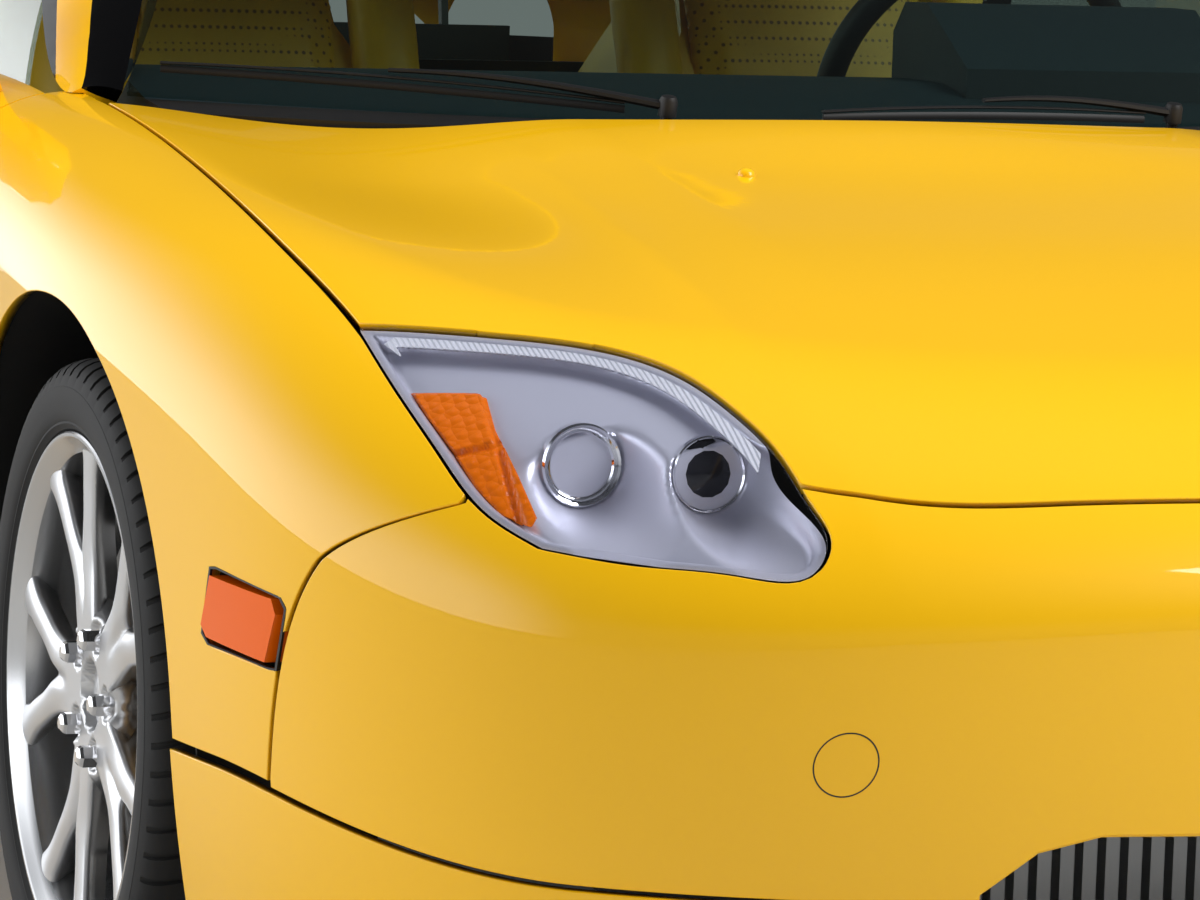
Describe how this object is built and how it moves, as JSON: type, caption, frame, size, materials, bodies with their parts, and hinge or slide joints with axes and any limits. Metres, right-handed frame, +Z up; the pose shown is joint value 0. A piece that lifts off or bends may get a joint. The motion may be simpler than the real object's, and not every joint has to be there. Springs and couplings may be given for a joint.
{
  "type": "two-seat coupe car",
  "caption": "Low two-seat coupe with opening doors, bonnet, engine hatch and boot lid, steered front wheels and free-rolling wheels, in yellow paint.",
  "frame": {"origin": "on the ground under the middle of the car's outer box", "axes": "+X the car's left, -Y forwards to the nose, +Z up"},
  "size_m": [1.928, 4.4249, 1.1703],
  "materials": {
    "body_paint": "glossy clear-coated yellow car paint",
    "black_trim": "moulded black plastic",
    "clear_glass": "clear safety glass with a dark border",
    "lamp_glass": "clear moulded polycarbonate",
    "lamp_bowl": "vacuum-metallised reflector",
    "amber_lens": "amber moulded lens",
    "red_lens": "red moulded lens",
    "alloy": "silver-painted cast alloy",
    "tyre_rubber": "tread rubber",
    "chassis_steel": "black-coated pressed steel",
    "suspension_metal": "forged aluminium with a bronze-painted caliper",
    "engine_metal": "cast alloy",
    "exhaust_metal": "stainless steel",
    "seat_leather": "yellow leather with perforated inserts",
    "dash_plastic": "grained dark blue-grey plastic",
    "wheel_leather": "dark leather on a padded rim"
  },
  "bodies": {
    "root": {"front_fender_left": "body_paint", "headlamp_left": "lamp_bowl", "headlamp_lens_left": "lamp_glass", "rear_quarter_left": "body_paint", "seat_left": "seat_leather", "front_fender_right": "body_paint", "headlamp_right": "lamp_bowl", "headlamp_lens_right": "lamp_glass", "rear_quarter_right": "body_paint", "seat_right": "seat_leather", "front_bumper": "body_paint", "chin_spoiler": "body_paint", "side_sills": "body_paint", "rear_bumper": "body_paint", "tail_panel": "black_trim", "tail_lamps": "red_lens", "windscreen": "clear_glass", "roof_panel": "body_paint", "cabin_frame": "body_paint", "arch_liners": "black_trim", "cabin_tub": "chassis_steel", "front_frame": "chassis_steel", "radiator": "engine_metal", "rear_frame": "chassis_steel", "rear_luggage_floor": "chassis_steel", "rear_tow_eye": "chassis_steel", "engine": "engine_metal", "exhaust": "exhaust_metal", "suspension_front": "suspension_metal", "suspension_rear": "suspension_metal", "cowl_panel": "black_trim", "wipers": "black_trim", "dashboard": "dash_plastic", "side_markers": "amber_lens"},
    "wheel_front_left": {"wheel_front_left": "alloy", "tyre_front_left": "tyre_rubber"},
    "wheel_front_right": {"wheel_front_right": "alloy", "tyre_front_right": "tyre_rubber"},
    "wheel_rear_left": {"wheel_rear_left": "alloy", "tyre_rear_left": "tyre_rubber"},
    "wheel_rear_right": {"wheel_rear_right": "alloy", "tyre_rear_right": "tyre_rubber"},
    "door_left": {"door_left": "body_paint", "door_glass_left": "clear_glass", "mirror_left": "body_paint"},
    "knuckle_left": {"knuckle_front_left": "suspension_metal"},
    "door_right": {"door_right": "body_paint", "door_glass_right": "clear_glass", "mirror_right": "body_paint"},
    "knuckle_right": {"knuckle_front_right": "suspension_metal"},
    "bonnet": {"bonnet": "body_paint"},
    "engine_hatch": {"engine_hatch": "clear_glass"},
    "boot_lid": {"boot_lid": "body_paint"},
    "steering_wheel": {"steering_wheel": "wheel_leather"},
    "steering_rack": {"steering_rack": "suspension_metal"}
  },
  "joints": [
    {"name": "door_left_open", "type": "hinge", "parent": "root", "child": "door_left", "pos_m": [0.844, -0.72, 0.5], "axis": [0, 0, -1], "range_deg": [0, 65]},
    {"name": "steer_left", "type": "hinge", "parent": "root", "child": "knuckle_left", "pos_m": [0.728, -1.2775, 0.302], "axis": [0, 0, 1], "range_deg": [-33, 33]},
    {"name": "front_left_spin", "type": "hinge", "parent": "knuckle_left", "child": "wheel_front_left", "pos_m": [0.755, -1.2775, 0.302], "axis": [1, 0, 0], "continuous": true},
    {"name": "rear_left_spin", "type": "hinge", "parent": "root", "child": "wheel_rear_left", "pos_m": [0.77, 1.2525, 0.318], "axis": [1, 0, 0], "continuous": true},
    {"name": "door_right_open", "type": "hinge", "parent": "root", "child": "door_right", "pos_m": [-0.844, -0.72, 0.5], "axis": [0, 0, 1], "range_deg": [0, 65]},
    {"name": "steer_right", "type": "hinge", "parent": "root", "child": "knuckle_right", "pos_m": [-0.728, -1.2775, 0.302], "axis": [0, 0, 1], "range_deg": [-33, 33]},
    {"name": "front_right_spin", "type": "hinge", "parent": "knuckle_right", "child": "wheel_front_right", "pos_m": [-0.755, -1.2775, 0.302], "axis": [1, 0, 0], "continuous": true},
    {"name": "rear_right_spin", "type": "hinge", "parent": "root", "child": "wheel_rear_right", "pos_m": [-0.77, 1.2525, 0.318], "axis": [1, 0, 0], "continuous": true},
    {"name": "bonnet_open", "type": "hinge", "parent": "root", "child": "bonnet", "pos_m": [0, -0.866, 0.79], "axis": [-1, 0, 0], "range_deg": [0, 55]},
    {"name": "engine_hatch_open", "type": "hinge", "parent": "root", "child": "engine_hatch", "pos_m": [0, 0.336, 1.126], "axis": [1, 0, 0], "range_deg": [0, 40]},
    {"name": "boot_open", "type": "hinge", "parent": "root", "child": "boot_lid", "pos_m": [0, 1.458, 0.86], "axis": [1, 0, 0], "range_deg": [0, 60]},
    {"name": "rack_slide", "type": "slide", "parent": "root", "child": "steering_rack", "axis": [1, 0, 0], "range_m": [-0.066, 0.066]},
    {"name": "steering_wheel_turn", "type": "hinge", "parent": "root", "child": "steering_wheel", "pos_m": [0.372, -0.42, 0.812], "axis": [0, 0.9168, 0.3994], "range_deg": [-545, 545]}
  ],
  "couplings": [
    {"joint": "steer_right", "follows": "steer_left", "ratio": 1},
    {"joint": "rack_slide", "follows": "steer_left", "m_per_rad": -0.107},
    {"joint": "steering_wheel_turn", "follows": "steer_left", "ratio": 16.4}
  ]
}
